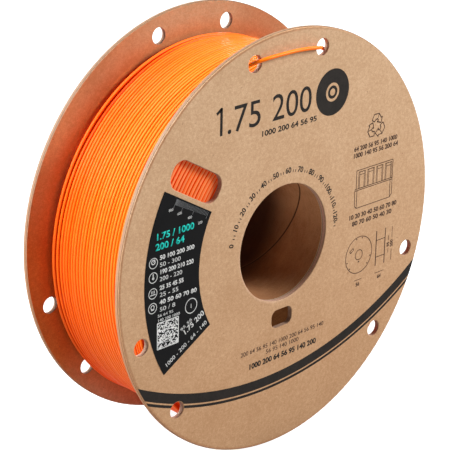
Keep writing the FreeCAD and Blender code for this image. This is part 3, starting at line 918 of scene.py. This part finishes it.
# Down the right side are three small line drawings: bent arrows in a triangle, four spools
# in a tray, and the spool's own outline with its sizes. Rows of figures stand beside them.
ARROW = [
    (-3.25, 3.38), (-1.73, 6.0), (1.73, 6.0), (3.1, 3.64), (3.96, 4.14), (3.24, 1.18),
    (0.33, 2.04), (1.19, 2.54), (0.69, 3.4), (-0.69, 3.4), (-1.34, 2.28),
]
ARROWS_CENTRE = (60.6, 42.8)
LINE = 0.38
for third in range(3):
    turned = math.radians(120 * third)
    outline = [
        (
            ARROWS_CENTRE[0] + x * math.cos(turned) - z * math.sin(turned),
            ARROWS_CENTRE[1] + x * math.sin(turned) + z * math.cos(turned),
        )
        for x, z in ARROW
    ]
    flat_path(outline, LINE * 1.3, closed=True)
    flat_bar(outline[2], outline[8], LINE)

TRAY_LEFT = 47.4
TRAY_RIGHT = 74.0
TRAY_FLOOR = 4.5
TRAY_EDGE = 14.2
BOX_TOP = 23.4
TRAY_INSET = 1.4
TRAY_LIP = 0.8
THIN_LINE = LINE * 0.8
tray_corners = [
    (TRAY_LEFT, TRAY_EDGE),
    (TRAY_LEFT, TRAY_FLOOR + TRAY_INSET),
    (TRAY_LEFT + TRAY_INSET, TRAY_FLOOR),
    (TRAY_RIGHT - TRAY_INSET, TRAY_FLOOR),
    (TRAY_RIGHT, TRAY_FLOOR + TRAY_INSET),
    (TRAY_RIGHT, TRAY_EDGE),
]
flat_path(tray_corners, LINE, closed=True)
for side in (TRAY_LEFT + TRAY_INSET, TRAY_RIGHT - TRAY_INSET):
    flat_bar((side, TRAY_FLOOR), (side, TRAY_EDGE - TRAY_LIP), LINE)
flat_bar((TRAY_LEFT, TRAY_EDGE - TRAY_LIP), (TRAY_RIGHT, TRAY_EDGE - TRAY_LIP), LINE)
box_corners = [
    (TRAY_LEFT + TRAY_LIP, TRAY_EDGE),
    (TRAY_LEFT + TRAY_LIP, BOX_TOP),
    (TRAY_RIGHT, BOX_TOP),
    (TRAY_RIGHT, TRAY_EDGE),
]
flat_path(box_corners, LINE)
for number in range(4):
    left = TRAY_LEFT + 2.3 + number * 6.3
    right = left + 4.6
    for side in (left, left + 0.7, right - 0.7, right):
        flat_bar((side, TRAY_EDGE), (side, BOX_TOP - 1.0), THIN_LINE)
    flat_bar((left, BOX_TOP - 1.0), (right, BOX_TOP - 1.0), LINE)
    flat_bar((left + 0.7, BOX_TOP - 2.4), (right - 0.7, BOX_TOP - 2.4), THIN_LINE)

DRAWING_CENTRE = (52.3, -20.0)
DRAWN_HOLES = 8.5
flat_ring(DRAWING_CENTRE, 9.5, 9.5 - LINE, sides=64)
flat_ring(DRAWING_CENTRE, 2.7, 2.7 - LINE, sides=32)
for hole in (76.4, 103.6, 196.4, 223.6, 316.4, 343.6):
    lean = math.radians(hole)
    x = DRAWING_CENTRE[0] + DRAWN_HOLES * math.cos(lean)
    z = DRAWING_CENTRE[1] + DRAWN_HOLES * math.sin(lean)
    flat_ring((x, z), LINE, 0, sides=12)
flat_path([(45.7, -16.9), (47.9, -15.6), (48.5, -16.6), (46.3, -17.9)], LINE, closed=True)
flat_bar((51.8, -23.6), (52.8, -23.6), 0.7)
DRAWN_FLANGES = (64.7, 71.1)
for x in DRAWN_FLANGES:
    flat_bar((x, -11.0), (x, -29.2), 0.6)
for z in (-16.0, -24.7):
    flat_bar((DRAWN_FLANGES[0], z), (DRAWN_FLANGES[1], z), LINE)
for left, right in ((49.6, 55.0), (64.6, 71.2)):
    flat_bar((left, -33.0), (right, -33.0), THIN_LINE)
for x, top, foot in (
    (73.7, -15.6, -18.2),
    (73.7, -22.2, -24.6),
    (76.2, -11.4, -17.0),
    (76.2, -23.2, -29.0),
):
    flat_bar((x, top), (x, foot), THIN_LINE)
flat_number("56", (52.3, -36.2), 1.9, weight=0.1, align="CENTER")
flat_number("64", (67.9, -36.2), 1.9, weight=0.1, align="CENTER")
flat_number("95", (74.4, -20.2), 1.8, weight=0.1, turn=math.pi / 2, align="CENTER")
flat_number("200", (76.9, -20.2), 1.8, weight=0.1, turn=math.pi / 2, align="CENTER")
finish_print("printed_drawings", brown_ink, FACE_LEVEL, "printing_ink")

flat_number("64 200 56 95 140 1000", (45.6, 33.3), 2.3, weight=0.11, width=30.6)
flat_number("1000 140 95 56 200 64", (45.0, 30.0), 2.3, weight=0.11, width=31.4)
flat_number("10 20 30 40 50 60 70 80", (43.8, -0.5), 2.3, weight=0.11, width=33.8)
flat_number("80 70 60 50 40 30", (46.4, -4.1), 2.3, weight=0.11, width=28.4)
finish_print("printed_side_rows", brown_ink, FACE_LEVEL, "printing_ink")


# Under the drive slot stand three rows of figures, one under the other. The upper two are
# thin and look brown, and the last one is heavy and dark.
flat_number("200 64 56 95 140 1000 200 64 56 95 140", (-26.4, -49.5), 2.2, weight=0.03, width=55.2)
flat_number("56 95 140 1000", (-10.0, -52.6), 2.2, weight=0.03, width=21.8)
finish_print("printed_lower_rows", brown_ink, FACE_LEVEL, "printing_ink")
flat_number("1000 200 64 56 95 140 200", (-21.2, -57.3), 2.7, weight=0.14, width=44.6)
finish_print("printed_heavy_row", dark_ink, FACE_LEVEL, "printing_ink")


# The sticker on the left is a black plastic film with a satin face. Its printing is light
# grey and teal: a scale along the top edge, then rows of figures with round marks, and a
# panel of random blocks.
FILM_DARK = srgb(6, 6, 7)
FILM_LIGHT = srgb(13, 13, 14)
film = Finish("label_film")
film_cloud = film.noise(0.012, 2.0)
film_grain = film.noise(0.0004, 2.0)
film_tone = film.step(film_cloud * 0.5 + film_grain * 0.5, 0.3, 0.7)
film_colour = film.mix(FILM_DARK, FILM_LIGHT, film_tone)
film_skin = film.bump(film_grain, 0.000008, 0.7)
paint(
    film.finish(
        Base_Color=film_colour,
        Roughness=0.42 + film_cloud * 0.1,
        Specular_IOR_Level=0.08,
        Normal=film_skin,
    ),
    "info_label",
)

white_ink = ink_finish("light_label_ink", srgb(196, 196, 194), srgb(226, 226, 223), 0.45)
grey_ink = ink_finish("grey_label_ink", srgb(98, 99, 100), srgb(126, 127, 128), 0.45)
teal_ink = ink_finish("teal_label_ink", srgb(12, 178, 164), srgb(34, 206, 192), 0.45)

# The comb of ticks along the sticker's top edge, finer towards the rim
TICKS = 37
LONG_TICKS = (0, 14, 25, 36)
COMB_ANGLE = 150.6
COMB_OUTER = 76.8
COMB_LENGTH = 21.4
for number in range(TICKS):
    share = number / (TICKS - 1)
    reach = COMB_OUTER - COMB_LENGTH * share ** 1.5
    first = math.radians(COMB_ANGLE)
    last = math.radians(COMB_ANGLE + (3.3 if number in LONG_TICKS else 2.0))
    start = (reach * math.cos(first), reach * math.sin(first))
    end = (reach * math.cos(last), reach * math.sin(last))
    flat_bar(start, end, 0.22)
finish_print("label_ticks", grey_ink, LABEL_LEVEL)

TICK_FIGURES = (
    ("800", (-71.6, 32.9)),
    ("600", (-66.6, 30.2)),
    ("400", (-60.6, 26.8)),
    ("200", (-54.4, 22.9)),
)
for text, place in TICK_FIGURES:
    flat_number(text, place, 1.25)
finish_print("label_tick_figures", white_ink, LABEL_LEVEL)

flat_number("1.75 / 1000", (-79.2, 21.7), 3.1, weight=0.12, width=21.6)
flat_number("200 / 64", (-79.2, 17.1), 3.1, weight=0.12, width=16.8)
finish_print("label_heading", teal_ink, LABEL_LEVEL)

# Four pairs of rows: the pair's height, then its heavy row and its thin row with their widths.
# A round mark beside each pair holds a small sign of its own.
ROWS_LEFT = -76.7
ROWS = (
    (12.4, "50 100 200 300", 20.2, "50 - 300", 12.0),
    (5.8, "190 200 210 220", 19.4, "200 - 220", 13.0),
    (-1.5, "25 35 45 55", 14.0, "25 - 55", 10.8),
    (-8.3, "40 50 60 70 80", 22.0, "50 / 8", 9.0),
)
for height, heavy, heavy_width, thin, thin_width in ROWS:
    flat_number(heavy, (ROWS_LEFT, height), 2.05, weight=0.09, width=heavy_width)
    flat_number(thin, (ROWS_LEFT, height - 3.3), 2.05, width=thin_width)
    flat_ring((-80.5 + 0.02 * height, height - 0.6), 2.5, 2.18, sides=40)
flat_ring((-80.3, 12.3), 1.2, 0.75, sides=24)
flat_bar((-80.3, 12.3), (-79.3, 13.3), 0.4)
flat_bar((-80.4, 4.9), (-80.4, 7.0), 0.5)
flat_ring((-80.4, 4.9), 0.65, 0, sides=20)
flat_bar((-82.0, -2.7), (-79.0, -2.7), 0.4)
for x in (-81.3, -80.5, -79.7):
    flat_bar((x, -2.1), (x, -0.8), 0.3)
flat_ring((-80.7, -8.5), 1.1, 0.8, sides=24)
flat_bar((-81.6, -9.7), (-79.8, -9.7), 0.35)

# A ring with a figure on the right, and figures round the panel and along the lower edge
flat_ring((-58.0, -14.2), 3.6, 3.25, sides=48)
flat_number("1", (-58.0, -15.3), 2.2, align="CENTER")
flat_number("56 64 95", (-77.8, -14.1), 1.35, width=9.0)
flat_number("140 200 1000", (-77.8, -16.3), 1.35, width=12.6)
EDGE_LEAN = math.radians(30.2)
flat_number("1000 - 200 - 64 - 140", (-72.6, -39.6), 2.1, turn=EDGE_LEAN, width=27.6)
flat_number("95 56", (-63.8, -24.9), 1.5, turn=EDGE_LEAN, width=7.4)
flat_number("1.75 200", (-61.9, -27.4), 2.7, weight=0.08, turn=EDGE_LEAN, width=13.2)

# The panel of random blocks, which codes nothing, inside a thin frame
PANEL_SIDE = 12.0
PANEL_MIDDLE = (-71.7, -23.1)
PANEL_EDGE = PANEL_SIDE / 2 + 0.2
panel_corners = [
    (PANEL_MIDDLE[0] + right * PANEL_EDGE, PANEL_MIDDLE[1] + up * PANEL_EDGE)
    for right, up in ((-1, -1), (1, -1), (1, 1), (-1, 1))
]
flat_path(panel_corners, 0.4, closed=True)
finish_print("label_rows", white_ink, LABEL_LEVEL)

PANEL_CELLS = 25
BLOCK_SHARE = 0.46
bpy.ops.object.select_all(action="DESELECT")
bpy.ops.mesh.primitive_grid_add(
    x_subdivisions=PANEL_CELLS,
    y_subdivisions=PANEL_CELLS,
    size=PANEL_SIDE * MILLIMETRE,
    location=(PANEL_MIDDLE[0] * MILLIMETRE, 0.0, PANEL_MIDDLE[1] * MILLIMETRE),
    rotation=(FLAT_ON_FACE, 0.0, 0.0),
)
panel = bpy.context.object
bpy.ops.object.mode_set(mode="EDIT")
bpy.ops.mesh.select_mode(type="FACE")
bpy.ops.mesh.select_all(action="DESELECT")
bpy.ops.object.mode_set(mode="OBJECT")
for polygon in panel.data.polygons:
    polygon.select = random.random() < BLOCK_SHARE
bpy.ops.object.mode_set(mode="EDIT")
bpy.ops.mesh.delete(type="FACE")
bpy.ops.mesh.select_mode(type="VERT")
bpy.ops.object.mode_set(mode="OBJECT")
flat_pieces.append(panel)
finish_print("label_block_panel", white_ink, LABEL_LEVEL)


# The studio: a white floor under the spool, soft lamps, and the camera where the photograph
# was taken from. The floor is white to the camera, and still takes the spool's soft shadow.
FLOOR_HEIGHT = -0.1
FLOOR_SIDE = 12.0
FLOOR_GLOW = (0.93, 0.93, 0.93, 1.0)
FLOOR_GREY = (0.3, 0.3, 0.3, 1.0)
MIRRORED_SHARE = 0.22
AMBIENT = 0.05
bpy.ops.mesh.primitive_plane_add(size=FLOOR_SIDE, location=(0.0, 0.0, FLOOR_HEIGHT))
floor = named("studio_floor")
floor_finish = Finish("studio_floor")
seen = floor_finish.node("ShaderNodeLightPath", output="Is Camera Ray")
mirrored = floor_finish.node("ShaderNodeLightPath", output="Is Glossy Ray")
through = floor_finish.node("ShaderNodeLightPath", output="Is Transmission Ray")
shown = (seen + mirrored * MIRRORED_SHARE + through).math("MINIMUM", 1.0)
glow = floor_finish.mix(BLACK, FLOOR_GLOW, shown)
floor_paper = floor_finish.finish(
    Base_Color=FLOOR_GREY,
    Roughness=0.9,
    Specular_IOR_Level=0.0,
    Emission_Color=glow,
    Emission_Strength=1.0,
)
floor.data.materials.append(floor_paper)

studio = bpy.data.worlds.new("studio")
studio.use_nodes = True
bpy.context.scene.world = studio
sky = studio.node_tree.nodes["Background"]
path = studio.node_tree.nodes.new("ShaderNodeLightPath")
strength = path.outputs["Is Camera Ray"]
for name in ("Is Glossy Ray", "Is Transmission Ray"):
    total = studio.node_tree.nodes.new("ShaderNodeMath")
    total.operation = "ADD"
    total.use_clamp = True
    studio.node_tree.links.new(strength, total.inputs[0])
    studio.node_tree.links.new(path.outputs[name], total.inputs[1])
    strength = total.outputs[0]
level = studio.node_tree.nodes.new("ShaderNodeMath")
level.operation = "MULTIPLY_ADD"
level.inputs[1].default_value = 1.0 - AMBIENT
level.inputs[2].default_value = AMBIENT
studio.node_tree.links.new(strength, level.inputs[0])
studio.node_tree.links.new(level.outputs[0], sky.inputs["Strength"])
sky.inputs["Color"].default_value = WHITE


def soft_lamp(name, place, width, height, power):
    """An oblong soft box that faces the spool."""
    data = bpy.data.lights.new(name, "AREA")
    data.shape = "RECTANGLE"
    data.size = width
    data.size_y = height
    data.energy = power
    lamp = bpy.data.objects.new(name, data)
    bpy.context.scene.collection.objects.link(lamp)
    lamp.location = place
    lamp.rotation_mode = "QUATERNION"
    lamp.rotation_quaternion = Vector(place).to_track_quat("Z", "Y")


soft_lamp("top_lamp", (-0.35, 0.2, 1.62), 0.4, 0.9, 26.0)
soft_lamp("left_lamp", (-1.28, 0.2, 1.05), 0.4, 0.9, 40.0)
soft_lamp("front_lamp", (1.5, -1.35, 0.95), 1.0, 1.0, 66.0)
soft_lamp("back_lamp", (1.3, 1.2, 0.15), 1.0, 1.0, 26.0)

camera_data = bpy.data.cameras.new("camera")
camera_data.sensor_width = 36.0
camera_data.lens = 144.15
camera = bpy.data.objects.new("camera", camera_data)
bpy.context.scene.collection.objects.link(camera)
CAMERA_PLACE = Vector((-0.55501, -0.555665, 0.301953))
CAMERA_RIGHT = Vector((0.716068, -0.697822, 0.017054))
CAMERA_UP = Vector((0.23957, 0.268635, 0.932975))
camera_back = CAMERA_RIGHT.cross(CAMERA_UP)
turned_axes = Matrix((CAMERA_RIGHT, CAMERA_UP, camera_back)).transposed()
camera.matrix_world = Matrix.Translation(CAMERA_PLACE) @ turned_axes.to_4x4()
bpy.context.scene.camera = camera
bpy.context.scene.view_settings.view_transform = "Standard"
